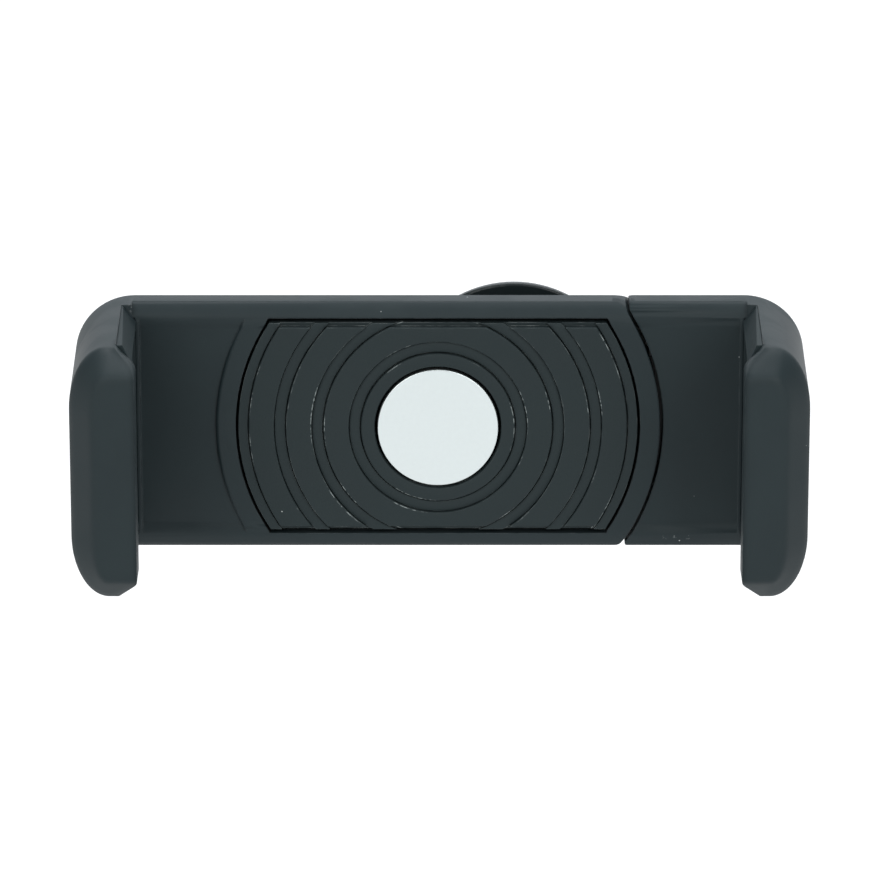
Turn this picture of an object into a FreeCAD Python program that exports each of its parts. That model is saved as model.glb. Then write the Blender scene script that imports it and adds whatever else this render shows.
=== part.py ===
import FreeCAD, Part
import math
import os

# Air vent phone holder with one sliding, sprung jaw and a rubber-shod vent clip on a swivel.
# Millimetres. X runs to the right as the driver sees it, Y runs away from the driver towards the
# vent, Z is up. The origin is the centre of the phone face, where the pad's ribs and the round
# disc lie in one plane.

Vector = FreeCAD.Vector

# Outside of the closed holder
body_middle = 0.15
body_half_width = 33.15
side_draft = 0.4
body_half_height = 11.55
belt_corner = 5.5
lip_corner_width = 3.3
lip_corner_height = 5.7
arm_reach = 16.1
lip_bevel_depth = 2.4
lip_bevel_inset = 2.2
lip_edge_radius = 0.5
belt_end = 3.5
back_taper = 2.0
back_edge_radius = 1.5

# Arms, lips and rubber grips
lip_width = 5.9
lip_thickness = 3.6
lip_chamfer_width = 1.8
lip_chamfer_top = 1.9
lip_chamfer_bottom = 1.75
arm_thickness = 4.0
arm_lean = 0.2
grip_thickness = 0.95
grip_lean = 0.6
grip_chamfer_width = 0.8
grip_chamfer_height = 1.7
grip_foot_depth = 1.95
grip_slot = 0.35
grip_inset = 0.1

# Front frame, its crowned edges and the dished ends
frame_setback = 0.25
frame_border = 1.35
frame_ring_width = 1.8
crown_width = 2.5
crown_drop_top = 1.2
crown_drop_bottom = 0.75
split_gap = 0.3
body_corner_top = 1.5
body_corner_bottom = 0.7
jaw_corner_top = 0.5
jaw_corner_bottom = 0.2
recess_depth_at_ring = 0.35
recess_depth_at_arm = 0.75
recess_rib = 0.35

# Rubber pad with its concentric ribs, and the round disc
disc_radius = 5.5
disc_thickness = 1.0
disc_chamfer = 0.15
disc_gap = 0.08
ring_width = 1.5
rib_width = 2.3
rib_gap = 1.1
rib_count = 3
rib_height = 0.3
pad_rim = 0.8
pad_edge = 0.35
pad_gap = 0.4
pad_thickness = 1.45

# Walls of the two shells
front_wall = 1.2
side_wall = 2.3
end_wall = 1.6
cover_depth = 3.3
cover_floor = 1.5
cover_wall = 3.1

# Sliding tongue and its guides
jaw_travel = 28.0
tongue_thickness = 3.2
slide_clearance = 0.1
tongue_end_room = 0.45
lug_length = 2.0
lug_height = 1.05
guide_rib = 1.0
stop_clearance = 0.05
stop_length = 1.5
tongue_head_length = 5.0
tongue_head_lip = 1.85

# Return springs and the pins that hold them
spring_rail = 0.95
spring_radius = 1.1
spring_wall = 0.35
spring_wire = 0.2
spring_pin_radius = 0.6
spring_pin_embed = 0.6
hook_clearance = 0.05
hook_neck = 1.9
anchor_wall_room = 1.75
spring_length = 21.5
groove_width = 2.8
groove_depth = 2.4
groove_end_room = 1.4
anchor_post_radius = 1.5
pin_top_room = 0.25

# Screws
screw_radius = 0.8
screw_hole_play = 0.15
screw_head_radius = 1.4
screw_head_height = 1.1
screw_head_play = 0.15
screw_grip = 2.6
screw_seat = 1.2
screw_boss_radius = 1.75
cross_width = 0.5
cross_depth = 0.6
cover_screw_edge = 3.7
cover_screw_wall_room = 2.25
cover_screw_ring_room = 7.5
jaw_screw_side = 2.5
jaw_screw_edge = 3.3

# Swivel between the rear cover and the vent clip
swivel_x = 7.0
shaft_radius = 3.0
running_clearance = 0.05
pivot_boss_radius = 6.4
pivot_recess_radius = 5.3
neck_radius = 7.6
neck_height = 0.95
friction_washer_thickness = 0.3
friction_washer_width = 3.2
pivot_screw_radius = 1.1
pivot_head_radius = 2.5
pivot_head_height = 0.8
pivot_head_gap = 0.15
retaining_washer_radius = 4.9
retaining_washer_thickness = 0.4
spring_washer_thickness = 0.25
spring_washer_bow = 0.25
pivot_screw_bite = 5.1

# Vent clip
flange_setback = 0.9
flange_thickness = 0.9
flange_edge = 0.25
hub_height = 2.0
hub_corner = 1.5
prong_length = 10.8
prong_root = 1.5
prong_tip = 1.25
prong_spacing_x = 3.5
prong_spacing_z = 2.9
sleeve_half_width = 2.05
sleeve_corner = 0.6
sleeve_tip = 1.6
sleeve_lead = 2.0
sleeve_end_wall = 1.5
sleeve_ridge = 0.3
sleeve_ridge_count = 3
sleeve_ridge_pitch = 2.6
sleeve_ridge_start = 2.4

# Planes worked out from the front to the back
inner_face = pad_thickness + front_wall
tongue_front = inner_face + slide_clearance
tongue_back = tongue_front + tongue_thickness
parting = tongue_back + slide_clearance
back_face = parting + cover_depth
cover_inside = back_face - cover_floor
neck_face = back_face + neck_height
flange_front = neck_face + friction_washer_thickness
flange_back = flange_front + flange_thickness
hub_back = flange_back + hub_height
prong_end = hub_back + prong_length
clip_end = prong_end + sleeve_end_wall
head_front = parting + pivot_head_gap
retaining_front = head_front + pivot_head_height
shaft_front = retaining_front + retaining_washer_thickness
bearing_front = shaft_front + spring_washer_thickness + spring_washer_bow
screw_seat_plane = parting + screw_seat
lip_front = -arm_reach
lip_back = lip_front + lip_thickness
bevel_back = lip_front + lip_bevel_depth

# Heights and widths worked out from the outside
opening_half_height = body_half_height - frame_border
pad_half_height = opening_half_height - pad_gap
rib_half_height = pad_half_height - pad_edge
rib_pitch = rib_gap + rib_width
ring_radius = disc_radius + ring_width
pad_radius = ring_radius + rib_count * rib_pitch + pad_rim
opening_radius = pad_radius + pad_gap
frame_radius = opening_radius + frame_ring_width
jaw_radius = frame_radius + split_gap
recess_radius = frame_radius
lip_half_width = body_half_width - side_draft
lip_inner = lip_half_width - lip_width
arm_inner = lip_half_width - arm_thickness
arm_inner_at_lip = arm_inner - arm_lean
grip_face = arm_inner - grip_thickness
grip_face_at_lip = grip_face - grip_lean
grip_half_height = body_half_height - grip_inset
slot_inner = grip_face - grip_slot + grip_inset
recess_end = slot_inner - recess_rib
cavity_half_height = body_half_height - side_wall
cover_cavity_half_height = body_half_height - cover_wall
cover_screw_z = body_half_height - cover_screw_edge
tongue_half_height = cover_screw_z - screw_boss_radius - slide_clearance
lug_half_height = tongue_half_height + lug_height
head_half_height = tongue_half_height + tongue_head_lip
head_left = jaw_radius + end_wall
head_right = head_left + tongue_head_length
spring_z = tongue_half_height - spring_rail - groove_width / 2
jaw_screw_z = head_half_height - jaw_screw_edge
jaw_screw_x = head_left + jaw_screw_side
left_wall = body_middle - recess_end
cover_screw_left = left_wall + cover_screw_wall_room
cover_screw_right = frame_radius - cover_screw_ring_room
anchor_x = left_wall + anchor_wall_room
hook_pin_x = anchor_x + spring_length
tongue_left = cover_screw_left + screw_boss_radius + tongue_end_room
stop_x = tongue_left + lug_length + jaw_travel + stop_clearance
flange_radius = body_half_height - flange_setback
groove_floor = tongue_back - groove_depth
spring_y = groove_floor + slide_clearance + spring_radius
beyond = 5.0
overcut = 1.0
match = 1e-6
wide = (body_middle - body_half_width - beyond, body_middle + body_half_width + beyond)


def across(side, distance):
    """The X of a place that far from the middle of the arms, on one side."""
    return body_middle + side * distance


def box(x, y, z):
    """A block from its low and high corner along each axis."""
    size = (x[1] - x[0], y[1] - y[0], z[1] - z[0])
    return Part.makeBox(*size, Vector(x[0], y[0], z[0]))


def rod(radius, x, z, low, high):
    """A round bar along Y."""
    return Part.makeCylinder(radius, high - low, Vector(x, low, z), Vector(0, 1, 0))


def front_prism(points, low, high):
    """A polygon drawn from the front, pushed back along Y."""
    corners = [Vector(x, low, z) for x, z in points]
    face = Part.Face(Part.makePolygon(corners + corners[:1]))
    return face.extrude(Vector(0, high - low, 0))


def plan_prism(points, low, high):
    """A polygon drawn from above, raised along Z."""
    corners = [Vector(x, y, low) for x, y in points]
    face = Part.Face(Part.makePolygon(corners + corners[:1]))
    return face.extrude(Vector(0, 0, high - low))


def rounded_wire(half_x, half_z, radius, y, x=0.0, z=0.0):
    """A rounded rectangle seen from the front, at depth y."""
    edges = []
    turn = [(1, 1), (-1, 1), (-1, -1), (1, -1)]
    for step, (side, up) in enumerate(turn):
        centre = Vector(x + side * (half_x - radius), y, z + up * (half_z - radius))
        start = math.radians(90 * step)
        arc = [
            centre + Vector(radius * math.cos(start + angle), 0, radius * math.sin(start + angle))
            for angle in (0, math.pi / 4, math.pi / 2)
        ]
        if edges:
            edges.append(Part.LineSegment(edges[-1].Vertexes[-1].Point, arc[0]).toShape())
        edges.append(Part.Arc(*arc).toShape())
    edges.append(Part.LineSegment(edges[-1].Vertexes[-1].Point, edges[0].Vertexes[0].Point).toShape())
    return Part.Wire(edges)


def outline(half_width, corner_width, corner_height, inset, y):
    """The holder's outline from the front at depth y, with quarter ellipses, drawn in by inset."""
    half_x = half_width - inset
    half_z = body_half_height - inset
    edges = []
    for side, up in ((1, 1), (-1, 1), (-1, -1), (1, -1)):
        corner = Vector(across(side, half_x), y, up * half_z)
        beside = corner - Vector(0, 0, up * (corner_height - inset))
        above = corner - Vector(side * (corner_width - inset), 0, 0)
        poles = [beside, corner, above] if side == up else [above, corner, beside]
        curve = Part.BezierCurve()
        curve.setPoles(poles)
        curve.setWeight(2, math.cos(math.pi / 4))
        if edges:
            edges.append(Part.LineSegment(edges[-1].Vertexes[-1].Point, poles[0]).toShape())
        edges.append(curve.toShape())
    edges.append(Part.LineSegment(edges[-1].Vertexes[-1].Point, edges[0].Vertexes[0].Point).toShape())
    return Part.Wire(edges)


def edges_at(shape, y):
    """The edges that lie whole in the plane at depth y."""
    return [e for e in shape.Edges if abs(e.BoundBox.YMin - y) < match and abs(e.BoundBox.YMax - y) < match]


def fused(first, *others):
    """One solid from several, with leftover seams removed."""
    return first.multiFuse(list(others)).removeSplitter()


def envelope():
    """The closed holder as one block: bevelled lips in front, straight belt, tapered back."""
    sections = [
        outline(lip_half_width, lip_corner_width, lip_corner_height, lip_bevel_inset, lip_front),
        outline(lip_half_width, lip_corner_width, lip_corner_height, 0, bevel_back),
        outline(body_half_width, belt_corner, belt_corner, 0, belt_end),
        outline(body_half_width, belt_corner, belt_corner, back_taper, back_face),
    ]
    block = Part.makeLoft(sections, True, True)
    block = block.makeFillet(back_edge_radius, edges_at(block, back_face))
    return block.makeFillet(lip_edge_radius, edges_at(block, lip_front) + edges_at(block, bevel_back))


def body_side():
    """Everything left of the curved split: a straight bar with a round end."""
    corner_x = math.sqrt(frame_radius ** 2 - body_half_height ** 2)
    return split_prism(wide[0], corner_x, frame_radius, body_corner_top, body_corner_bottom)


def jaw_side():
    """Everything right of the curved split, with a hollow end."""
    corner_x = math.sqrt(jaw_radius ** 2 - body_half_height ** 2)
    return split_prism(wide[1], corner_x, jaw_radius, jaw_corner_top, jaw_corner_bottom)


def split_prism(far_x, corner_x, radius, top_corner, bottom_corner):
    """A bar from far_x to an arc about the disc's centre, with its two corners rounded."""
    top = Vector(corner_x, -arm_reach - beyond, body_half_height)
    bottom = Vector(corner_x, -arm_reach - beyond, -body_half_height)
    middle = Vector(radius, -arm_reach - beyond, 0)
    far_top = Vector(far_x, -arm_reach - beyond, body_half_height)
    far_bottom = Vector(far_x, -arm_reach - beyond, -body_half_height)
    edges = [
        Part.LineSegment(far_top, top).toShape(),
        Part.Arc(top, middle, bottom).toShape(),
        Part.LineSegment(bottom, far_bottom).toShape(),
        Part.LineSegment(far_bottom, far_top).toShape(),
    ]
    bar = Part.Face(Part.Wire(edges)).extrude(Vector(0, arm_reach + back_face + 2 * beyond, 0))
    for up, corner in ((1, top_corner), (-1, bottom_corner)):
        edges = [
            e for e in bar.Edges
            if e.BoundBox.YLength > beyond
            and abs(e.Vertexes[0].X - corner_x) < match
            and up * e.Vertexes[0].Z > 0
        ]
        bar = bar.makeFillet(corner, edges)
    return bar


def crown_arc(x, up, drop):
    """The rounded border of the frame, above or below: an arc that falls back by drop at its edge."""
    radius = (crown_width ** 2 + drop ** 2) / (2 * drop)
    half = crown_width / 2
    start = body_half_height - crown_width
    middle = radius - math.sqrt(radius ** 2 - half ** 2)
    return Part.Arc(
        Vector(x, frame_setback, up * start),
        Vector(x, frame_setback + middle, up * (start + half)),
        Vector(x, frame_setback + drop, up * body_half_height),
    )


def phone_space():
    """The room for the phone: between the arms, behind the lips, down to the crowned frame."""
    high = body_half_height + beyond
    left, right = wide
    low = -arm_reach - beyond
    top = crown_arc(left, 1, crown_drop_top)
    bottom = crown_arc(left, -1, crown_drop_bottom)
    rim = [top.EndPoint, Vector(left, top.EndPoint.y, high), Vector(left, low, high)]
    rim += [Vector(left, low, -high), Vector(left, bottom.EndPoint.y, -high), bottom.EndPoint]
    edges = [Part.LineSegment(a, b).toShape() for a, b in zip(rim, rim[1:])]
    edges.append(bottom.toShape())
    edges.append(Part.LineSegment(bottom.StartPoint, top.StartPoint).toShape())
    edges.append(top.toShape())
    front = Part.Face(Part.Wire(edges)).extrude(Vector(right - left, 0, 0))
    half_plan = [
        (lip_inner, low),
        (lip_inner, lip_back),
        (arm_inner_at_lip, lip_back),
        (arm_inner, frame_setback),
        (grip_face, frame_setback),
        (grip_face, frame_setback + beyond),
    ]
    plan = [(across(1, x), y) for x, y in half_plan] + [(across(-1, x), y) for x, y in reversed(half_plan)]
    return front.common(plan_prism(plan, -high, high))


def lip_chamfers(side):
    """Wedges that clear the top and bottom corners on the lip's inner side."""
    inside = across(side, lip_inner - overcut)
    edge = across(side, lip_inner)
    crest = across(side, lip_inner + lip_chamfer_width)
    wedges = []
    for up, height in ((1, lip_chamfer_top), (-1, lip_chamfer_bottom)):
        foot = up * (body_half_height - height)
        over = up * (body_half_height + overcut)
        points = [(inside, foot), (edge, foot), (crest, up * body_half_height), (crest, over), (inside, over)]
        wedges.append(front_prism(points, lip_front - overcut, lip_back))
    return Part.makeCompound(wedges)


def grip_slot_cut(side):
    """The slot that the grip's foot stands in."""
    near, far = sorted((across(side, slot_inner), across(side, arm_inner)))
    depth = (frame_setback, frame_setback + grip_foot_depth + grip_inset)
    return box((near, far), depth, (-opening_half_height, opening_half_height))


def end_recess(side):
    """The dish between the curved line and the arm, deeper towards the arm."""
    ring_floor = frame_setback + recess_depth_at_ring
    arm_floor = frame_setback + recess_depth_at_arm
    points = [(0, ring_floor - overcut), (0, ring_floor), (side * opening_radius, ring_floor)]
    points += [(across(side, recess_end), arm_floor), (across(side, recess_end), ring_floor - overcut)]
    dish = plan_prism(points, -opening_half_height, opening_half_height)
    return dish.cut(rod(recess_radius, 0, 0, -overcut, parting))


def front_shell(side_bar, side):
    """The front moulding of one side, before its inside is hollowed."""
    shell = envelope().common(side_bar)
    shell = shell.cut(box(wide, (parting, back_face + beyond), wide))
    shell = shell.cut(phone_space())
    shell = shell.cut(lip_chamfers(side))
    shell = shell.cut(end_recess(side))
    return shell.cut(grip_slot_cut(side))


def back_shell(side_bar):
    """The rear moulding of one side, before its inside is hollowed."""
    shell = envelope().common(side_bar)
    return shell.cut(box(wide, (lip_front - beyond, parting), wide))


def cover_screw_places():
    """Where the four screws of the rear cover stand."""
    return [(x, up * cover_screw_z) for x in (cover_screw_left, cover_screw_right) for up in (1, -1)]


def jaw_screw_places():
    """Where the two screws of the jaw stand."""
    return [(jaw_screw_x, up * jaw_screw_z) for up in (1, -1)]


def screw_bosses(places, low, high):
    """Round posts that the screws run in."""
    return [rod(screw_boss_radius, x, z, low, high) for x, z in places]


def pilot_holes(places):
    """Holes in the front moulding that the screws bite into."""
    low = parting - screw_grip - slide_clearance
    return Part.makeCompound([rod(screw_radius, x, z, low, parting + overcut) for x, z in places])


def seat_holes(places):
    """Stepped holes in the rear moulding: shank below, head above."""
    holes = []
    for x, z in places:
        holes.append(rod(screw_radius + screw_hole_play, x, z, parting - overcut, back_face))
        holes.append(rod(screw_head_radius + screw_head_play, x, z, screw_seat_plane, back_face + overcut))
    return Part.makeCompound(holes)


def pad_opening(radius, half_height, low, high):
    """The pad's outline, two arcs and two straight sides, pushed back along Y."""
    disc = rod(radius, 0, 0, low, high)
    return disc.common(box((-radius, radius), (low, high), (-half_height, half_height)))


def main_housing():
    """Front frame and left arm in one moulding, with the tongue's channel behind."""
    shell = front_shell(body_side(), -1)
    shell = shell.cut(pad_opening(opening_radius, opening_half_height, -overcut, pad_thickness))
    half = cavity_half_height
    hollow = (inner_face, parting + overcut)
    cavity_left = box((left_wall, 0), hollow, (-half, half))
    cavity_right = pad_opening(frame_radius - end_wall, half, *hollow)
    shell = shell.cut(cavity_left.fuse(cavity_right))
    window_half = tongue_half_height + slide_clearance
    window = box((0, frame_radius + overcut), (inner_face, parting + overcut), (-window_half, window_half))
    shell = shell.cut(window)
    guide_z = lug_half_height + slide_clearance
    depth = (inner_face, parting)
    added = screw_bosses(cover_screw_places(), inner_face, parting)
    for up in (1, -1):
        guide = sorted((up * guide_z, up * (guide_z + guide_rib)))
        stop = sorted((up * window_half, up * (guide_z + guide_rib / 2)))
        added.append(box((tongue_left, stop_x + stop_length), depth, guide))
        added.append(box((stop_x, stop_x + stop_length), depth, stop))
        post_top = spring_y - spring_wire
        added.append(rod(anchor_post_radius, anchor_x, up * spring_z, inner_face, post_top))
    shell = fused(shell, *added)
    pins = [rod(spring_pin_radius, anchor_x, up * spring_z, inner_face - spring_pin_embed, parting)
            for up in (1, -1)]
    shell = shell.cut(Part.makeCompound(pins))
    return shell.cut(pilot_holes(cover_screw_places()))


def rear_cover():
    """Back moulding of the fixed side, with the swivel's bearing and neck."""
    shell = back_shell(body_side())
    half = cover_cavity_half_height
    depth = (parting - overcut, cover_inside)
    cavity_left = box((left_wall, 0), depth, (-half, half))
    cavity_right = pad_opening(frame_radius - end_wall, half, *depth)
    shell = shell.cut(cavity_left.fuse(cavity_right))
    added = screw_bosses(cover_screw_places(), parting, cover_inside + cover_floor / 2)
    added.append(rod(pivot_boss_radius, swivel_x, 0, parting, cover_inside + cover_floor / 2))
    added.append(rod(neck_radius, swivel_x, 0, cover_inside, neck_face))
    for up in (1, -1):
        rail = sorted((up * (tongue_half_height - guide_rib), up * tongue_half_height))
        added.append(box((tongue_left, frame_radius - end_wall), (parting, cover_inside), rail))
    bar = body_side()
    added = [piece.common(bar) for piece in added]
    shell = fused(shell, *added)
    shell = shell.cut(rod(pivot_recess_radius, swivel_x, 0, parting - overcut, bearing_front))
    shell = shell.cut(rod(shaft_radius + running_clearance, swivel_x, 0, parting, neck_face + overcut))
    return shell.cut(seat_holes(cover_screw_places()))


def jaw_shell():
    """Right arm and its curved plate in one moulding."""
    shell = front_shell(jaw_side(), 1)
    depth = (inner_face, parting + overcut)
    room = slide_clearance
    pocket_half = head_half_height + room
    pocket = box((head_left - room, head_right + room), depth, (-pocket_half, pocket_half))
    neck_half = tongue_half_height + room
    neck = box((0, head_left + overcut), depth, (-neck_half, neck_half))
    shell = shell.cut(pocket.fuse(neck))
    shell = fused(shell, *screw_bosses(jaw_screw_places(), inner_face, parting))
    return shell.cut(pilot_holes(jaw_screw_places()))


def jaw_rear_cover():
    """Back moulding of the sliding jaw."""
    shell = back_shell(jaw_side())
    half = cover_cavity_half_height
    cavity = box((0, across(1, arm_inner)), (parting - overcut, cover_inside), (-half, half))
    cavity = cavity.cut(rod(jaw_radius + end_wall, 0, 0, parting - 2 * overcut, back_face))
    shell = shell.cut(cavity)
    shell = fused(shell, *screw_bosses(jaw_screw_places(), parting, cover_inside + cover_floor / 2))
    return shell.cut(seat_holes(jaw_screw_places()))


def grip(side):
    """Rubber liner on an arm's inner face, with a foot that stands in the slot."""
    points = [
        (across(side, arm_inner_at_lip), lip_back),
        (across(side, arm_inner), frame_setback),
        (across(side, grip_face), frame_setback),
        (across(side, grip_face_at_lip), lip_back),
    ]
    slab = plan_prism(points, -grip_half_height, grip_half_height)
    foot_x = sorted((across(side, grip_face + grip_inset), across(side, arm_inner)))
    foot_half = opening_half_height - grip_inset
    foot = box(foot_x, (frame_setback, frame_setback + grip_foot_depth), (-foot_half, foot_half))
    liner = fused(slab, foot)
    inside = across(side, grip_face_at_lip - overcut)
    edge = across(side, grip_face_at_lip)
    crest = across(side, grip_face_at_lip + grip_chamfer_width)
    for up in (1, -1):
        foot = up * (grip_half_height - grip_chamfer_height)
        top = up * grip_half_height
        over = up * (grip_half_height + overcut)
        points = [(inside, foot), (edge, foot), (crest, top), (crest, over), (inside, over), (inside, foot)]
        wedge = Part.Face(Part.makePolygon([Vector(x, lip_back, z) for x, z in points]))
        liner = liner.cut(wedge.extrude(Vector(side * grip_lean, frame_setback - lip_back, 0)))
    return liner


def face_pad():
    """Rubber pad with a ring and three pairs of curved ribs round the disc."""
    pad = pad_opening(pad_radius, pad_half_height, rib_height, pad_thickness)
    raised = [rod(ring_radius, 0, 0, 0, rib_height)]
    for number in range(rib_count):
        inner = ring_radius + rib_gap + number * rib_pitch
        outer = pad_opening(inner + rib_width, rib_half_height, 0, rib_height)
        raised.append(outer.cut(rod(inner, 0, 0, -overcut, rib_height + overcut)))
    pad = fused(pad, *raised)
    return pad.cut(rod(disc_radius + disc_gap, 0, 0, -overcut, disc_thickness))


def badge_disc():
    """Plain round metal disc, flush with the ribs."""
    disc = rod(disc_radius, 0, 0, 0, disc_thickness)
    return disc.makeChamfer(disc_chamfer, edges_at(disc, 0))


def slide_tongue():
    """Flat bar that carries the jaw, with stop lugs at one end and a wide head at the other."""
    depth = (tongue_front, tongue_back)
    bar = box((tongue_left, head_left + overcut), depth, (-tongue_half_height, tongue_half_height))
    lugs = box((tongue_left, tongue_left + lug_length), depth, (-lug_half_height, lug_half_height))
    head = box((head_left, head_right), depth, (-head_half_height, head_half_height))
    tongue = fused(bar, lugs, head)
    pin_root = groove_floor - spring_pin_embed
    for up in (1, -1):
        middle = up * spring_z
        groove = (middle - groove_width / 2, middle + groove_width / 2)
        groove_x = (tongue_left - overcut, hook_pin_x + groove_end_room)
        tongue = tongue.cut(box(groove_x, (groove_floor, tongue_back + overcut), groove))
        tongue = tongue.cut(rod(spring_pin_radius, hook_pin_x, middle, pin_root, parting))
    for x, z in jaw_screw_places():
        tongue = tongue.cut(rod(screw_boss_radius + slide_clearance, x, z, inner_face, parting))
    return tongue


def return_spring(up):
    """Extension spring: closed coils as one sleeve, with a hook at each end."""
    z = up * spring_z
    start = anchor_x + hook_neck
    end = hook_pin_x - hook_neck
    along = Vector(1, 0, 0)
    sleeve = Part.makeCylinder(spring_radius, end - start, Vector(start, spring_y, z), along)
    bore_length = end - start - 2 * spring_wall
    bore_start = Vector(start + spring_wall, spring_y, z)
    sleeve = sleeve.cut(Part.makeCylinder(spring_radius - spring_wall, bore_length, bore_start, along))
    hook_radius = spring_pin_radius + hook_clearance + spring_wire
    hooks = []
    for pin_x, inward, face in ((anchor_x, 1, start), (hook_pin_x, -1, end)):
        ring = Part.makeTorus(hook_radius, spring_wire, Vector(pin_x, spring_y, z), Vector(0, 1, 0))
        near = pin_x + inward * hook_radius
        reach = abs(face - near) + spring_wall / 2
        neck = Part.makeCylinder(spring_wire, reach, Vector(near, spring_y, z), along * inward)
        hooks += [ring, neck]
    return fused(sleeve, *hooks)


def spring_pins(x, root):
    """The two pins at one end of the springs."""
    top = spring_y + spring_radius - pin_top_room
    return Part.makeCompound([rod(spring_pin_radius, x, up * spring_z, root, top) for up in (1, -1)])


def cross_cut(x, z, face, depth, reach):
    """A cross recess in a screw's head."""
    half = cross_width / 2
    first = box((x - reach, x + reach), (face - depth, face + depth), (z - half, z + half))
    second = box((x - half, x + half), (face - depth, face + depth), (z - reach, z + reach))
    return first.fuse(second)


def screws(places):
    """Small cross-head screws, all alike, seen from the back."""
    made = []
    for x, z in places:
        head_top = screw_seat_plane + screw_head_height
        head = rod(screw_head_radius, x, z, screw_seat_plane, head_top)
        shank = rod(screw_radius, x, z, parting - screw_grip, screw_seat_plane + screw_head_height / 2)
        screw = fused(head, shank)
        made.append(screw.cut(cross_cut(x, z, head_top, cross_depth, screw_head_radius - cross_width)))
    return Part.makeCompound(made)


def friction_washer():
    """Thin washer that gives the swivel its drag."""
    inner = neck_radius - friction_washer_width
    washer = rod(neck_radius, swivel_x, 0, neck_face, flange_front)
    return washer.cut(rod(inner, swivel_x, 0, neck_face - overcut, flange_front + overcut))


def retaining_washer():
    """Flat washer between the pivot screw's head and the shaft."""
    washer = rod(retaining_washer_radius, swivel_x, 0, retaining_front, shaft_front)
    return washer.cut(rod(pivot_screw_radius, swivel_x, 0, retaining_front - overcut, shaft_front + overcut))


def spring_washer():
    """Bowed washer that presses the flange against the cover."""
    half = retaining_washer_radius
    bow_radius = (half ** 2 + spring_washer_bow ** 2) / (2 * spring_washer_bow)
    inner = bow_radius - spring_washer_thickness
    centre = Vector(swivel_x, bearing_front - bow_radius, -half - overcut)
    length = 2 * (half + overcut)
    bowed = Part.makeCylinder(bow_radius, length, centre).cut(Part.makeCylinder(inner, length, centre))
    ring = rod(retaining_washer_radius, swivel_x, 0, shaft_front, bearing_front)
    bore = rod(shaft_radius + running_clearance, swivel_x, 0, shaft_front - overcut, bearing_front + overcut)
    ring = ring.cut(bore)
    return ring.common(bowed)


def pivot_screw():
    """Screw that holds the clip's shaft in the rear cover."""
    head = rod(pivot_head_radius, swivel_x, 0, head_front, retaining_front)
    shank = rod(pivot_screw_radius, swivel_x, 0, retaining_front, retaining_front + pivot_screw_bite)
    screw = fused(head, shank)
    slots = cross_cut(swivel_x, 0, head_front, pivot_head_height / 2, pivot_head_radius - cross_width)
    return screw.cut(slots)


def prong_places():
    """Where the four prongs stand, with the way each lies from the swivel's axis."""
    return [(side, up) for up in (1, -1) for side in (-1, 1)]


def prong(side, up):
    """One tapered finger of the clip."""
    x = swivel_x + side * prong_spacing_x
    z = up * prong_spacing_z
    root = rounded_wire(prong_root, prong_root, sleeve_corner / 2, hub_back, x, z)
    tip = rounded_wire(prong_tip, prong_tip, sleeve_corner / 2, prong_end, x, z)
    return Part.makeLoft([root, tip], True, True)


def clip_core():
    """Flange, shaft, hub and four springy prongs in one moulding."""
    flange = rod(flange_radius, swivel_x, 0, flange_front, flange_back)
    flange = flange.makeFillet(flange_edge, edges_at(flange, flange_front) + edges_at(flange, flange_back))
    shaft = rod(shaft_radius, swivel_x, 0, shaft_front, flange_back)
    hub_half_x = prong_spacing_x + prong_root
    hub_half_z = prong_spacing_z + prong_root
    hub_wire = rounded_wire(hub_half_x, hub_half_z, hub_corner, flange_front + flange_edge, swivel_x)
    hub = Part.Face(hub_wire).extrude(Vector(0, hub_back - flange_front - flange_edge, 0))
    prongs = [prong(side, up) for side, up in prong_places()]
    core = fused(flange, shaft, hub, *prongs)
    pilot_end = retaining_front + pivot_screw_bite + slide_clearance
    return core.cut(rod(pivot_screw_radius, swivel_x, 0, shaft_front - overcut, pilot_end))


def prong_sleeve(side, up):
    """Rubber sleeve on one prong, ridged where it grips the vent's blade."""
    x = swivel_x + side * prong_spacing_x
    z = up * prong_spacing_z
    lead_start = clip_end - sleeve_lead
    sections = [
        rounded_wire(sleeve_half_width, sleeve_half_width, sleeve_corner, hub_back, x, z),
        rounded_wire(sleeve_half_width, sleeve_half_width, sleeve_corner, lead_start, x, z),
        rounded_wire(sleeve_tip, sleeve_tip, sleeve_corner, clip_end, x, z),
    ]
    sleeve = Part.makeLoft(sections, True, True)
    ridges = []
    length = 2 * (sleeve_half_width - sleeve_corner)
    for number in range(sleeve_ridge_count):
        y = hub_back + sleeve_ridge_start + number * sleeve_ridge_pitch
        face_z = z - up * sleeve_half_width
        face_x = x - side * sleeve_half_width
        start_x = Vector(x - length / 2, y, face_z)
        start_z = Vector(face_x, y, z - length / 2)
        ridges.append(Part.makeCylinder(sleeve_ridge, length, start_x, Vector(1, 0, 0)))
        ridges.append(Part.makeCylinder(sleeve_ridge, length, start_z, Vector(0, 0, 1)))
    return fused(sleeve, *ridges).cut(prong(side, up))


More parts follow.
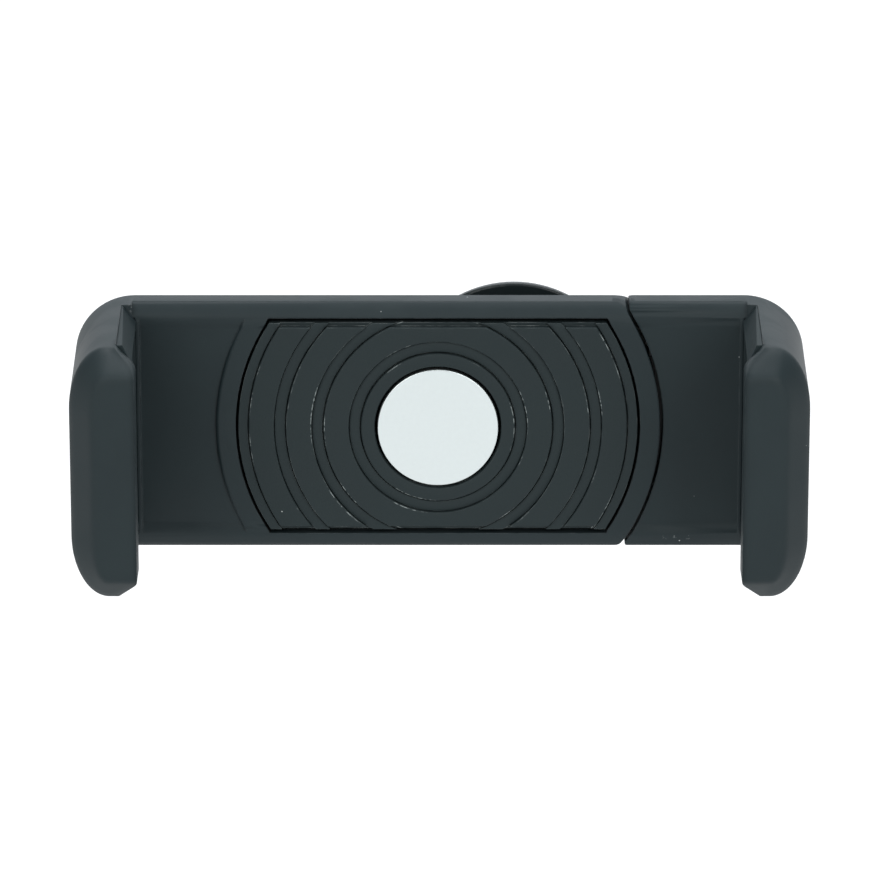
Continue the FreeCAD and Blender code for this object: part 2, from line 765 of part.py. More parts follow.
def pieces():
    """Every piece by its name."""
    made = {
        "main_housing": main_housing(),
        "rear_cover": rear_cover(),
        "jaw_shell": jaw_shell(),
        "jaw_rear_cover": jaw_rear_cover(),
        "slide_tongue": slide_tongue(),
        "left_grip": grip(-1),
        "right_grip": grip(1),
        "face_pad": face_pad(),
        "badge_disc": badge_disc(),
        "upper_return_spring": return_spring(1),
        "lower_return_spring": return_spring(-1),
        "spring_anchor_pins": spring_pins(anchor_x, inner_face - spring_pin_embed),
        "spring_hook_pins": spring_pins(hook_pin_x, groove_floor - spring_pin_embed),
        "cover_screws": screws(cover_screw_places()),
        "jaw_screws": screws(jaw_screw_places()),
        "friction_washer": friction_washer(),
        "retaining_washer": retaining_washer(),
        "spring_washer": spring_washer(),
        "pivot_screw": pivot_screw(),
        "clip_core": clip_core(),
    }
    sides = {-1: "left", 1: "right"}
    levels = {1: "upper", -1: "lower"}
    for side, up in prong_places():
        made[f"{levels[up]}_{sides[side]}_sleeve"] = prong_sleeve(side, up)
    return made


os.makedirs("parts", exist_ok=True)
for name, shape in pieces().items():
    shape.exportStep(f"parts/{name}.step")
    print(f"{name}: {len(shape.Solids)} solid(s), {shape.Volume:.2f} mm3, valid {shape.isValid()}")
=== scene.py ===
import math

import bmesh
import bpy
from mathutils import Matrix, Vector


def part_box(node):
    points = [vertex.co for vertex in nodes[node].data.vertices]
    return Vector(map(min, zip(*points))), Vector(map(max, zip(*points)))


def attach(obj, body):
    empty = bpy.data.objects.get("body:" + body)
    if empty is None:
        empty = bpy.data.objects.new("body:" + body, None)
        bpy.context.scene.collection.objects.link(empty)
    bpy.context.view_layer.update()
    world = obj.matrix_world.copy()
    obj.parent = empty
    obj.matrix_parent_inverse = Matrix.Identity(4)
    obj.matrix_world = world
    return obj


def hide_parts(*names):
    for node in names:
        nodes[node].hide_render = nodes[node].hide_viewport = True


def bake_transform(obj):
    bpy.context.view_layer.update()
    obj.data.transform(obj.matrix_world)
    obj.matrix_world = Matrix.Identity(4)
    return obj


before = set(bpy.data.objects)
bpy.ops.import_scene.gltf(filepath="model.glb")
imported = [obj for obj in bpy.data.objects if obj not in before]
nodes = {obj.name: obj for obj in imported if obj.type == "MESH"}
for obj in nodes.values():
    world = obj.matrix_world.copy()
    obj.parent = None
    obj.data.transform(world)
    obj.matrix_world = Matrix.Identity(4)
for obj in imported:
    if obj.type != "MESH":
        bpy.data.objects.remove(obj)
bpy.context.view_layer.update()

# Camera
# It looks along the holder's front from half a metre, a little above level, and frames it as the
# photograph does. The origin of the holder lies a little left of and above the picture's middle.
camera_rise = math.radians(17.2)
camera_distance = 0.52
sensor_width_mm = 36.0
photo_side_px = 880
photo_focal_px = 5720
photo_origin_px = (437.9, 427.8)

camera_data = bpy.data.cameras.new("front_camera")
camera_data.sensor_width = sensor_width_mm
camera_data.lens = photo_focal_px / photo_side_px * sensor_width_mm
camera_data.clip_start = 0.05
camera_data.clip_end = 20.0
camera = bpy.data.objects.new("front_camera", camera_data)
bpy.context.scene.collection.objects.link(camera)
metres_per_px = camera_distance / photo_focal_px
aside = (photo_side_px / 2 - photo_origin_px[0]) * metres_per_px
above = (photo_origin_px[1] - photo_side_px / 2) * metres_per_px
ahead = Vector((0, math.cos(camera_rise), -math.sin(camera_rise)))
upward = Vector((0, math.sin(camera_rise), math.cos(camera_rise)))
camera.location = Vector((aside, 0, 0)) + upward * above - ahead * camera_distance
camera.rotation_euler = (math.pi / 2 - camera_rise, 0, 0)
bpy.context.scene.camera = camera

# Floor and studio light
# A plain pale floor lies below the holder, which hangs on its vent clip in use. Soft lamps stand
# overhead, at the front on both sides and low behind, and a pale room fills the rest.
floor_drop = 0.062
floor_half = 3.0
floor_colour = (0.58, 0.58, 0.58, 1)
floor_shown = 0.56
room_colour = (0.93, 0.97, 1.0, 1)
room_light = 0.30
room_shown = 0.5


def view_rays(tree):
    """1 for what the camera, a mirror or clear glass sees, 0 for light that falls on the holder."""
    path = tree.nodes.new("ShaderNodeLightPath")
    first = tree.nodes.new("ShaderNodeMath")
    first.operation = "MAXIMUM"
    second = tree.nodes.new("ShaderNodeMath")
    second.operation = "MAXIMUM"
    tree.links.new(path.outputs["Is Camera Ray"], first.inputs[0])
    tree.links.new(path.outputs["Is Glossy Ray"], first.inputs[1])
    tree.links.new(first.outputs[0], second.inputs[0])
    tree.links.new(path.outputs["Is Transmission Ray"], second.inputs[1])
    return second.outputs[0]


floor_mesh = bmesh.new()
bmesh.ops.create_grid(floor_mesh, x_segments=1, y_segments=1, size=floor_half)
bmesh.ops.translate(floor_mesh, verts=floor_mesh.verts, vec=(0, 0, -floor_drop))
floor_data = bpy.data.meshes.new("studio_floor")
floor_mesh.to_mesh(floor_data)
floor_mesh.free()
floor = bpy.data.objects.new("studio_floor", floor_data)
bpy.context.scene.collection.objects.link(floor)

floor_paint = bpy.data.materials.new("studio_floor")
floor_paint.use_nodes = True
tree = floor_paint.node_tree
tree.nodes.clear()
diffuse = tree.nodes.new("ShaderNodeBsdfDiffuse")
diffuse.inputs["Color"].default_value = floor_colour
glow = tree.nodes.new("ShaderNodeEmission")
glow.inputs["Color"].default_value = (1, 1, 1, 1)
shown = tree.nodes.new("ShaderNodeMath")
shown.operation = "MULTIPLY"
shown.inputs[1].default_value = floor_shown
together = tree.nodes.new("ShaderNodeAddShader")
output = tree.nodes.new("ShaderNodeOutputMaterial")
tree.links.new(view_rays(tree), shown.inputs[0])
tree.links.new(shown.outputs[0], glow.inputs["Strength"])
tree.links.new(diffuse.outputs[0], together.inputs[0])
tree.links.new(glow.outputs[0], together.inputs[1])
tree.links.new(together.outputs[0], output.inputs["Surface"])
floor_data.materials.append(floor_paint)

world = bpy.data.worlds.new("pale_room")
bpy.context.scene.world = world
world.use_nodes = True
tree = world.node_tree
tree.nodes.clear()
room = tree.nodes.new("ShaderNodeBackground")
room.inputs["Color"].default_value = room_colour
level = tree.nodes.new("ShaderNodeMapRange")
level.inputs["To Min"].default_value = room_light
level.inputs["To Max"].default_value = room_shown
output = tree.nodes.new("ShaderNodeOutputWorld")
tree.links.new(view_rays(tree), level.inputs["Value"])
tree.links.new(level.outputs["Result"], room.inputs["Strength"])
tree.links.new(room.outputs[0], output.inputs["Surface"])


def soft_lamp(name, place, width, height, power, colour):
    """A soft lamp, a lit rectangle, that faces the holder."""
    lamp_data = bpy.data.lights.new(name, "AREA")
    lamp_data.shape = "RECTANGLE"
    lamp_data.size = width
    lamp_data.size_y = height
    lamp_data.energy = power
    lamp_data.color = colour
    lamp = bpy.data.objects.new(name, lamp_data)
    bpy.context.scene.collection.objects.link(lamp)
    lamp.location = place
    lamp.rotation_euler = (-Vector(place)).to_track_quat("-Z", "Y").to_euler()


soft_lamp("overhead_softbox", (0.05, 0.16, 0.62), 0.55, 0.55, 3.0, (0.94, 0.97, 1.0))
soft_lamp("left_softbox", (-0.45, -0.75, 0.42), 0.5, 0.6, 2.95, (1.0, 0.99, 0.97))
soft_lamp("right_softbox", (0.42, -0.75, 0.42), 0.4, 0.6, 3.05, (1.0, 0.99, 0.97))
soft_lamp("back_strip", (0.0, 0.95, 0.36), 2.4, 0.4, 3.0, (0.90, 0.95, 1.0))

bpy.context.scene.view_settings.view_transform = "Standard"

# Vent clip
# The foot that hooks on a vent's blade: a round flange, a short shaft and four springy prongs,
# moulded in one piece of black nylon and left with the smooth shine of a polished mould.


def new_group(name, inputs, outputs):
    """An empty shader group with its sockets, its input and its output."""
    group = bpy.data.node_groups.new(name, "ShaderNodeTree")
    for label, kind in inputs:
        group.interface.new_socket(name=label, in_out="INPUT", socket_type=kind)
    for label, kind in outputs:
        group.interface.new_socket(name=label, in_out="OUTPUT", socket_type=kind)
    return group, group.nodes.new("NodeGroupInput"), group.nodes.new("NodeGroupOutput")


def calc(tree, operation, first, second=None, clamp=False):
    """A Math node fed by sockets or numbers, and its result."""
    node = tree.nodes.new("ShaderNodeMath")
    node.operation = operation
    node.use_clamp = clamp
    for socket, value in zip(node.inputs, (first, second)):
        if isinstance(value, bpy.types.NodeSocket):
            tree.links.new(value, socket)
        elif value is not None:
            socket.default_value = value
    return node.outputs[0]


def spread(tree, value, low, high, to_low=0.0, to_high=1.0):
    """A value stretched from one range to another, smoothly and within its ends."""
    node = tree.nodes.new("ShaderNodeMapRange")
    node.interpolation_type = "SMOOTHSTEP"
    tree.links.new(value, node.inputs["Value"])
    for label, bound in (("From Min", low), ("From Max", high), ("To Min", to_low), ("To Max", to_high)):
        node.inputs[label].default_value = bound
    return node.outputs["Result"]


def cloud(tree, place, cell, detail=2.0):
    """Soft noise whose lumps are about one cell wide, in metres."""
    node = tree.nodes.new("ShaderNodeTexNoise")
    node.inputs["Scale"].default_value = 1 / cell
    node.inputs["Detail"].default_value = detail
    tree.links.new(place, node.inputs["Vector"])
    return node.outputs[0]


number = "NodeSocketFloat"
vector = "NodeSocketVector"

# The fine skin that a spark-eroded mould leaves: pits of about 0.15 mm, in soft patches
pit_cell = 0.00016
pit_softness = 0.6
skin_cell = 0.00009
skin_share = 0.6
patch_cell = 0.006
patch_range = (0.32, 0.68)
mould_grain, given, made = new_group(
    "mould_grain", [("Place", vector), ("Fineness", number)],
    [("Height", number), ("Patches", number)])
finer = mould_grain.nodes.new("ShaderNodeVectorMath")
finer.operation = "SCALE"
mould_grain.links.new(given.outputs["Place"], finer.inputs[0])
mould_grain.links.new(given.outputs["Fineness"], finer.inputs["Scale"])
pits = mould_grain.nodes.new("ShaderNodeTexVoronoi")
pits.feature = "SMOOTH_F1"
pits.inputs["Scale"].default_value = 1 / pit_cell
pits.inputs["Smoothness"].default_value = pit_softness
mould_grain.links.new(finer.outputs[0], pits.inputs["Vector"])
skin = cloud(mould_grain, finer.outputs[0], skin_cell, 3.0)
height = calc(mould_grain, "MULTIPLY_ADD", skin, skin_share)
mould_grain.links.new(pits.outputs["Distance"], height.node.inputs[2])
mould_grain.links.new(height, made.inputs["Height"])
patches = cloud(mould_grain, given.outputs["Place"], patch_cell, 3.0)
mould_grain.links.new(spread(mould_grain, patches, *patch_range), made.inputs["Patches"])

# Edges that hands and a phone have rubbed: a rounded normal, and a broken pale line on each edge, partly
# wear and partly a painted highlight
edge_samples = 8
line_samples = 6
line_turn = (0.02, 0.22)
line_break_cell = 0.0014
line_breaks = (0.40, 0.66)
rubbed_and_lit_edges, given, made = new_group(
    "rubbed_and_lit_edges", [("Place", vector), ("Width", number), ("Line", number)],
    [("RubAndHighlight", number), ("Normal", vector)])
rounded = rubbed_and_lit_edges.nodes.new("ShaderNodeBevel")
rounded.samples = edge_samples
rubbed_and_lit_edges.links.new(given.outputs["Width"], rounded.inputs["Radius"])
fine = rubbed_and_lit_edges.nodes.new("ShaderNodeBevel")
fine.samples = line_samples
rubbed_and_lit_edges.links.new(given.outputs["Line"], fine.inputs["Radius"])
flat = rubbed_and_lit_edges.nodes.new("ShaderNodeNewGeometry")
apart = rubbed_and_lit_edges.nodes.new("ShaderNodeVectorMath")
apart.operation = "DOT_PRODUCT"
rubbed_and_lit_edges.links.new(fine.outputs[0], apart.inputs[0])
rubbed_and_lit_edges.links.new(flat.outputs["Normal"], apart.inputs[1])
turned = calc(rubbed_and_lit_edges, "SUBTRACT", 1.0, apart.outputs["Value"])
edge = spread(rubbed_and_lit_edges, turned, *line_turn)
wander = cloud(rubbed_and_lit_edges, given.outputs["Place"], line_break_cell, 4.0)
broken = spread(rubbed_and_lit_edges, wander, *line_breaks)
rubbed_and_lit_edges.links.new(calc(rubbed_and_lit_edges, "MULTIPLY", edge, broken), made.inputs["RubAndHighlight"])
rubbed_and_lit_edges.links.new(rounded.outputs[0], made.inputs["Normal"])

# House dust: a few pale specks, and a thin film on what faces up
speck_cell = 0.0013
speck_rim = 0.062
speck_core = 0.035
film_tilt = (0.2, 1.0)
film_cell = 0.0060
film_cover = (0.25, 0.80)
settled_dust, given, made = new_group(
    "settled_dust", [("Place", vector), ("Share", number)],
    [("Specks", number), ("Film", number)])
grit = settled_dust.nodes.new("ShaderNodeTexVoronoi")
grit.inputs["Scale"].default_value = 1 / speck_cell
settled_dust.links.new(given.outputs["Place"], grit.inputs["Vector"])
speck = settled_dust.nodes.new("ShaderNodeMapRange")
speck.interpolation_type = "SMOOTHSTEP"
speck.inputs["From Min"].default_value = speck_rim
speck.inputs["From Max"].default_value = speck_core
settled_dust.links.new(grit.outputs["Distance"], speck.inputs["Value"])
lot = settled_dust.nodes.new("ShaderNodeSeparateColor")
settled_dust.links.new(grit.outputs["Color"], lot.inputs[0])
chosen = calc(settled_dust, "LESS_THAN", lot.outputs[0], given.outputs["Share"])
specks = calc(settled_dust, "MULTIPLY", speck.outputs["Result"], chosen)
settled_dust.links.new(specks, made.inputs["Specks"])
facing = settled_dust.nodes.new("ShaderNodeNewGeometry")
facing_parts = settled_dust.nodes.new("ShaderNodeSeparateXYZ")
settled_dust.links.new(facing.outputs["Normal"], facing_parts.inputs[0])
upper = spread(settled_dust, facing_parts.outputs["Z"], *film_tilt)
mottle = spread(settled_dust, cloud(settled_dust, given.outputs["Place"], film_cell, 2.0), *film_cover)
settled_dust.links.new(calc(settled_dust, "MULTIPLY", upper, mottle), made.inputs["Film"])


def mixed(tree, share, first, second):
    """Two colours, given as sockets or tuples, mixed by a share."""
    node = tree.nodes.new("ShaderNodeMix")
    node.data_type = "RGBA"
    tree.links.new(share, node.inputs["Factor"])
    for socket, colour in ((node.inputs[6], first), (node.inputs[7], second)):
        if isinstance(colour, bpy.types.NodeSocket):
            tree.links.new(colour, socket)
        else:
            socket.default_value = colour
    return node.outputs[2]


def placed(tree, group, place, **values):
    """One of the shared groups, put in a material with its own values."""
    node = tree.nodes.new("ShaderNodeGroup")
    node.node_tree = group
    tree.links.new(place, node.inputs["Place"])
    for label, value in values.items():
        node.inputs[label].default_value = value
    return node.outputs


moulded_specular = 0.25


def moulded(name, dark, light, rub_and_highlight, dust, roughness, grain, edge_width, line=0.0001, soft_front=None):
    """A moulded plastic or rubber: grained, dusty and rubbed, with pale edge lines that are partly painted
    highlights, and with softer edges in front if asked.
    """
    finish = bpy.data.materials.new(name)
    finish.use_nodes = True
    tree = finish.node_tree
    shader = tree.nodes["Principled BSDF"]
    place = tree.nodes.new("ShaderNodeTexCoord").outputs["Object"]
    skin = placed(tree, mould_grain, place, Fineness=grain["fineness"])
    edges = placed(tree, rubbed_and_lit_edges, place, Width=edge_width, Line=line)
    specks = placed(tree, settled_dust, place, Share=dust["share"])
    if soft_front:
        front, back, width = soft_front
        parts = tree.nodes.new("ShaderNodeSeparateXYZ")
        tree.links.new(place, parts.inputs[0])
        widths = spread(tree, parts.outputs["Y"], front, back, width, edge_width)
        tree.links.new(widths, edges["Normal"].node.inputs["Width"])
    body = mixed(tree, skin["Patches"], dark, light)
    # The pale line on the edges is partly wear and partly a painted highlight
    pale_edges = mixed(tree, calc(tree, "MULTIPLY", edges["RubAndHighlight"], rub_and_highlight["strength"]), body, rub_and_highlight["colour"])
    filmed = mixed(tree, calc(tree, "MULTIPLY", specks["Film"], dust["film"]), pale_edges, dust["colour"])
    dusted = mixed(tree, specks["Specks"], filmed, dust["colour"])
    tree.links.new(dusted, shader.inputs["Base Color"])
    rough_low, rough_high = roughness
    rough = spread(tree, skin["Patches"], 0.0, 1.0, rough_low, rough_high)
    polished = calc(tree, "MULTIPLY", edges["RubAndHighlight"], rub_and_highlight["polish"])
    tree.links.new(calc(tree, "SUBTRACT", rough, polished, clamp=True), shader.inputs["Roughness"])
    relief = tree.nodes.new("ShaderNodeBump")
    relief.inputs["Distance"].default_value = grain["depth"]
    relief.inputs["Strength"].default_value = grain["strength"]
    tree.links.new(skin["Height"], relief.inputs["Height"])
    tree.links.new(edges["Normal"], relief.inputs["Normal"])
    tree.links.new(relief.outputs[0], shader.inputs["Normal"])
    shader.inputs["Specular IOR Level"].default_value = moulded_specular
    return finish


def finish_node(name, material):
    """Gives a CAD node its finish."""
    slots = nodes[name].data.materials
    slots.clear()
    slots.append(material)


dust_colour = (0.62, 0.66, 0.66, 1)
clip_plastic = moulded(
    "clip_plastic", (0.0130, 0.0190, 0.0205, 1), (0.0165, 0.0230, 0.0245, 1),
    {"colour": (0.030, 0.036, 0.040, 1), "strength": 0.5, "polish": 0.0},
    {"share": 0.06, "film": 0.02, "colour": dust_colour}, (0.26, 0.34),
    {"fineness": 1.3, "depth": 0.00001, "strength": 0.2}, 0.00012)
finish_node("clip_core", clip_plastic)

# Rubber sleeves on the prongs
# Four soft caps pushed over the prongs, so that the blade is gripped and not scratched. Moulded in
# matt black rubber with three cross ridges on the faces that touch the blade.
sleeve_half = 0.00205
sleeve_corner = 0.0006
sleeve_lead = 0.0020
sleeve_tip = 0.0016
sleeve_tip_round = 0.00035
sleeve_mouth_round = 0.00015
ridge_radius = 0.0003
ridge_start = 0.0024
ridge_pitch = 0.0026
ridge_count = 3
ridge_sides = 16
ridge_rim_angle = 1.0
touch = 1e-6
crease_angle = math.radians(26)


def new_piece(name, mesh, material, body=None, stands_for=(), crease=crease_angle):
    """Makes a finished mesh an object of its own, with even shading, on its body."""
    bmesh.ops.recalc_face_normals(mesh, faces=mesh.faces)
    data = bpy.data.meshes.new(name)
    mesh.to_mesh(data)
    mesh.free()
    data.shade_smooth()
    data.set_sharp_from_angle(angle=crease)
    data.materials.append(material)
    piece = bpy.data.objects.new(name, data)
    bpy.context.scene.collection.objects.link(piece)
    even = piece.modifiers.new("even_shading", "WEIGHTED_NORMAL")
    even.weight = 100
    even.keep_sharp = True
    if body:
        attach(piece, body)
    if stands_for:
        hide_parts(*stands_for)
    return piece


def round_off(mesh, edges, radius, segments):
    """Rounds the given edges."""
    bmesh.ops.bevel(
        mesh, geom=list(edges), offset=radius, offset_type="OFFSET", segments=segments,
        profile=0.5, affect="EDGES", clamp_overlap=True, material=-1)


def sleeve_ridge(mesh, middle, along, length):
    """One half-buried round bar across a sleeve's face."""
    turn = Vector((0, 0, 1)).rotation_difference(along).to_matrix().to_4x4()
    bar = bmesh.ops.create_cone(
        mesh, cap_ends=True, segments=ridge_sides, radius1=ridge_radius, radius2=ridge_radius,
        depth=length, matrix=Matrix.Translation(middle) @ turn)
    rims = {e for v in bar["verts"] for e in v.link_edges if e.calc_face_angle(0) > ridge_rim_angle}
    round_off(mesh, rims, ridge_radius / 3, 2)


rubber_rub_and_highlight = {"colour": (0.050, 0.066, 0.072, 1), "strength": 0.7, "polish": 0.05}
sleeve_rubber = moulded(
    "sleeve_rubber", (0.0065, 0.0120, 0.0140, 1), (0.0100, 0.0170, 0.0190, 1), rubber_rub_and_highlight,
    {"share": 0.10, "film": 0.05, "colour": dust_colour}, (0.62, 0.74),
    {"fineness": 1.0, "depth": 0.00002, "strength": 0.35}, 0.00018)
for level_name, up in (("upper", 1), ("lower", -1)):
    for side_name, side in (("left", -1), ("right", 1)):
        node_name = f"{level_name}_{side_name}_sleeve"
        low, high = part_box(node_name)
        outer_x, outer_z = (high if side > 0 else low)[0], (high if up > 0 else low)[2]
        middle_x, middle_z = outer_x - side * sleeve_half, outer_z - up * sleeve_half
        root, lead, tip = low[1], high[1] - sleeve_lead, high[1]
        sleeve = bmesh.new()
        bmesh.ops.create_cube(sleeve, size=1)
        bmesh.ops.scale(sleeve, verts=sleeve.verts, vec=(2 * sleeve_half, lead - root, 2 * sleeve_half))
        bmesh.ops.translate(sleeve, verts=sleeve.verts, vec=(middle_x, (root + lead) / 2, middle_z))
        end_face = max(sleeve.faces, key=lambda face: face.calc_center_median().y)
        grown = bmesh.ops.extrude_discrete_faces(sleeve, faces=[end_face])["faces"][0]
        bmesh.ops.translate(sleeve, verts=grown.verts, vec=(0, tip - lead, 0))
        share = sleeve_tip / sleeve_half
        at_tip = Matrix.Translation((-middle_x, -tip, -middle_z))
        bmesh.ops.scale(sleeve, verts=grown.verts, vec=(share, 1, share), space=at_tip)
        long_edges = [e for e in sleeve.edges if abs(e.verts[0].co.y - e.verts[1].co.y) > sleeve_lead / 2]
        round_off(sleeve, long_edges, sleeve_corner, 4)
        round_off(sleeve, [e for e in sleeve.edges if min(v.co.y for v in e.verts) > tip - touch],
                  sleeve_tip_round, 3)
        round_off(sleeve, [e for e in sleeve.edges if max(v.co.y for v in e.verts) < root + touch],
                  sleeve_mouth_round, 2)
        ridge_length = 2 * (sleeve_half - sleeve_corner)
        for number_along in range(ridge_count):
            place_y = root + ridge_start + number_along * ridge_pitch
            sleeve_ridge(sleeve, Vector((middle_x, place_y, middle_z - up * sleeve_half)),
                         Vector((1, 0, 0)), ridge_length)
            sleeve_ridge(sleeve, Vector((middle_x - side * sleeve_half, place_y, middle_z)),
                         Vector((0, 0, 1)), ridge_length)
        new_piece(f"{node_name}_rubber", sleeve, sleeve_rubber, "clip", (node_name,))

# Swivel
# The clip's shaft turns in the rear cover against a nylon drag washer, held by a bowed spring
# washer, a flat washer and a bright steel screw.
metal_tone = (0.3, 0.7)
metal_sheen = (0.25, 0.75)


def bare_metal(name, colour, roughness, fine, shade=0.8, marks=0.000004):
    """Plain metal: a little uneven in tone, with fine marks from making."""
    finish = bpy.data.materials.new(name)
    finish.use_nodes = True
    tree = finish.node_tree
    shader = tree.nodes["Principled BSDF"]
    shader.inputs["Metallic"].default_value = 1.0
    place = tree.nodes.new("ShaderNodeTexCoord").outputs["Object"]
    grain = cloud(tree, place, fine, 4.0)
    duller = tuple(shade * part for part in colour[:3]) + (1,)
    toned = mixed(tree, spread(tree, grain, *metal_tone), duller, colour)
    tree.links.new(toned, shader.inputs["Base Color"])
    low, high = roughness
    tree.links.new(spread(tree, grain, *metal_sheen, low, high), shader.inputs["Roughness"])
    relief = tree.nodes.new("ShaderNodeBump")
    relief.inputs["Distance"].default_value = marks
    tree.links.new(grain, relief.inputs["Height"])
    tree.links.new(relief.outputs[0], shader.inputs["Normal"])
    return finish


washer_nylon = moulded(
    "washer_nylon", (0.62, 0.60, 0.53, 1), (0.70, 0.68, 0.61, 1),
    {"colour": (0.75, 0.73, 0.68, 1), "strength": 0.3, "polish": 0.05},
    {"share": 0.2, "film": 0.02, "colour": dust_colour}, (0.38, 0.46),
    {"fineness": 1.2, "depth": 0.00001, "strength": 0.2}, 0.00008)
bright_steel = bare_metal("bright_steel", (0.62, 0.62, 0.60, 1), (0.22, 0.34), 0.00025)
finish_node("friction_washer", washer_nylon)
for node_name in ("retaining_washer", "spring_washer", "pivot_screw"):
    finish_node(node_name, bright_steel)

# Housing, rear cover and jaw shells
# Four hollow mouldings in black ABS with a fine matt grain: the front frame with the left arm, its
# rear cover, and the jaw with its own rear cover. Screws from behind hold each pair together.
pad_side = 0.0165
frame_front = 0.00025
dish_half = 0.0102
dish_arc = 0.0202
dish_round = 0.00028
dish_slope = 0.0009
dish_shallow = 0.00055
dish_deep = 0.0011
split_arc = 0.0205
lip_back = -0.0125
lip_corner_round = 0.00046
lip_edge_length = 0.0009
lip_edge_lean = 0.0001
slant_tilt = 0.01
slant_turn = (0.6, 0.8)
facing_front = -0.98
flat_angle = math.radians(1)
rim_angle = math.radians(30)
round_steps = 4
near = 0.00003
plastic_rub_and_highlight = {"colour": (0.085, 0.100, 0.108, 1), "strength": 0.8, "polish": 0.10}
shell_plastic = moulded(
    "shell_plastic", (0.0150, 0.0250, 0.0285, 1), (0.0180, 0.0290, 0.0325, 1), plastic_rub_and_highlight,
    {"share": 0.06, "film": 0.012, "colour": dust_colour}, (0.48, 0.56),
    {"fineness": 1.0, "depth": 0.000012, "strength": 0.25}, 0.00022, soft_front=(-0.0125, -0.0095, 0.0013))

# Painted shade darkens the walls of the gap round the pad, and a few small spots on the edges are scuffed
gap_shade_colour = (0.0020, 0.0032, 0.0036, 1)
gap_shade_roughness = 0.95
opening_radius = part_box("face_pad")[1][0] + 0.00045
opening_z = 0.01019
opening_front = 0.00036
scuffs = [
    {"middle": (-0.0274, 0.0001, 0.0113), "reach": 0.0008},
    {"middle": (0.0208, 0.0004, -0.0107), "reach": 0.0004},
    {"middle": (0.0217, 0.0004, -0.0106), "reach": 0.0003},
    {"middle": (0.0229, 0.0004, -0.0107), "reach": 0.0004},
]
scuff_colour = (0.16, 0.18, 0.185, 1)
scuff_cell = 0.00022
scuff_breaks = (0.52, 0.66)
scuff_heart = 0.3


def from_axis(tree, place):
    """How far a point lies from the disc's axis."""
    flat = tree.nodes.new("ShaderNodeVectorMath")
    flat.operation = "MULTIPLY"
    flat.inputs[1].default_value = (1, 0, 1)
    tree.links.new(place, flat.inputs[0])
    distance = tree.nodes.new("ShaderNodeVectorMath")
    distance.operation = "LENGTH"
    tree.links.new(flat.outputs[0], distance.inputs[0])
    return distance.outputs["Value"]


tree = shell_plastic.node_tree
shader = tree.nodes["Principled BSDF"]
place = tree.nodes.new("ShaderNodeTexCoord").outputs["Object"]
parts = tree.nodes.new("ShaderNodeSeparateXYZ")
tree.links.new(place, parts.inputs[0])
beside = calc(tree, "LESS_THAN", from_axis(tree, place), opening_radius)
between = calc(tree, "LESS_THAN", calc(tree, "ABSOLUTE", parts.outputs["Z"]), opening_z)
sunk = calc(tree, "GREATER_THAN", parts.outputs["Y"], opening_front)
# Painted shade: the walls of the gap round the pad, behind the frame's front, are darkened where shade
# falls, and made rougher
gap_shade = calc(tree, "MULTIPLY", calc(tree, "MULTIPLY", beside, between), sunk)
plain_colour = shader.inputs["Base Color"].links[0].from_socket
colour = mixed(tree, gap_shade, plain_colour, gap_shade_colour)
flecks = spread(tree, cloud(tree, place, scuff_cell, 3.0), *scuff_breaks)
for scuff in scuffs:
    apart = tree.nodes.new("ShaderNodeVectorMath")
    apart.operation = "DISTANCE"
    tree.links.new(place, apart.inputs[0])
    apart.inputs[1].default_value = scuff["middle"]
    about = spread(tree, apart.outputs["Value"], scuff["reach"], scuff_heart * scuff["reach"])
    colour = mixed(tree, calc(tree, "MULTIPLY", about, flecks), colour, scuff_colour)
tree.links.new(colour, shader.inputs["Base Color"])
rough = shader.inputs["Roughness"].links[0].from_socket
dull = calc(tree, "MULTIPLY", gap_shade, gap_shade_roughness)
tree.links.new(calc(tree, "MAXIMUM", rough, dull), shader.inputs["Roughness"])
for node_name in ("rear_cover", "jaw_rear_cover"):
    finish_node(node_name, shell_plastic)


def worked_copy(node_name):
    """A copy of a CAD node's mesh, with its loose triangles joined and flat faces made whole."""
    mesh = bmesh.new()
    mesh.from_mesh(nodes[node_name].data)
    bmesh.ops.remove_doubles(mesh, verts=mesh.verts, dist=touch)
    bmesh.ops.dissolve_limit(mesh, angle_limit=flat_angle, verts=mesh.verts, edges=mesh.edges)
    return mesh


def sloped_dish(mesh):
    """Draws the dish's floor in above and below, so that its steps become gentle slopes."""
    floors = []
    for face in mesh.faces:
        middle = face.calc_center_median()
        at_dish_depth = dish_shallow < middle.y < dish_deep
        if face.normal.y < facing_front and at_dish_depth and abs(middle.x) > pad_side:
            floors.append(face)
    inner_half = dish_half - dish_slope
    for vert in {v for face in floors for v in face.verts}:
        x, y, z = vert.co
        if abs(z) < inner_half:
            continue
        arc = math.hypot(x, z)
        z = math.copysign(inner_half, z)
        if arc < split_arc + near:
            x = math.copysign(math.sqrt(arc ** 2 - z ** 2), x)
        vert.co = (x, y, z)
    bmesh.ops.remove_doubles(mesh, verts=mesh.verts, dist=touch)


def on_dish_arc(vert):
    """Whether a corner lies where the frame's ring falls into the left dish."""
    x, y, z = vert.co
    return x < 0 and abs(y - frame_front) < near and abs(math.hypot(x, z) - dish_arc) < near


def lip_corner_edges(mesh):
    """The long edges of the slanted corners on the lips' inner side."""
    slanted = []
    for face in mesh.faces:
        x, y, z = face.normal
        slants = abs(y) < slant_tilt and slant_turn[0] < abs(x) < slant_turn[1]
        if slants and face.calc_center_median().y < lip_back:
            slanted.append(face)
    chosen = []
    for edge in {e for face in slanted for e in face.edges}:
        along = edge.verts[0].co - edge.verts[1].co
        if abs(along.y) > lip_edge_length and along.xz.length < lip_edge_lean:
            chosen.append(edge)
    return chosen


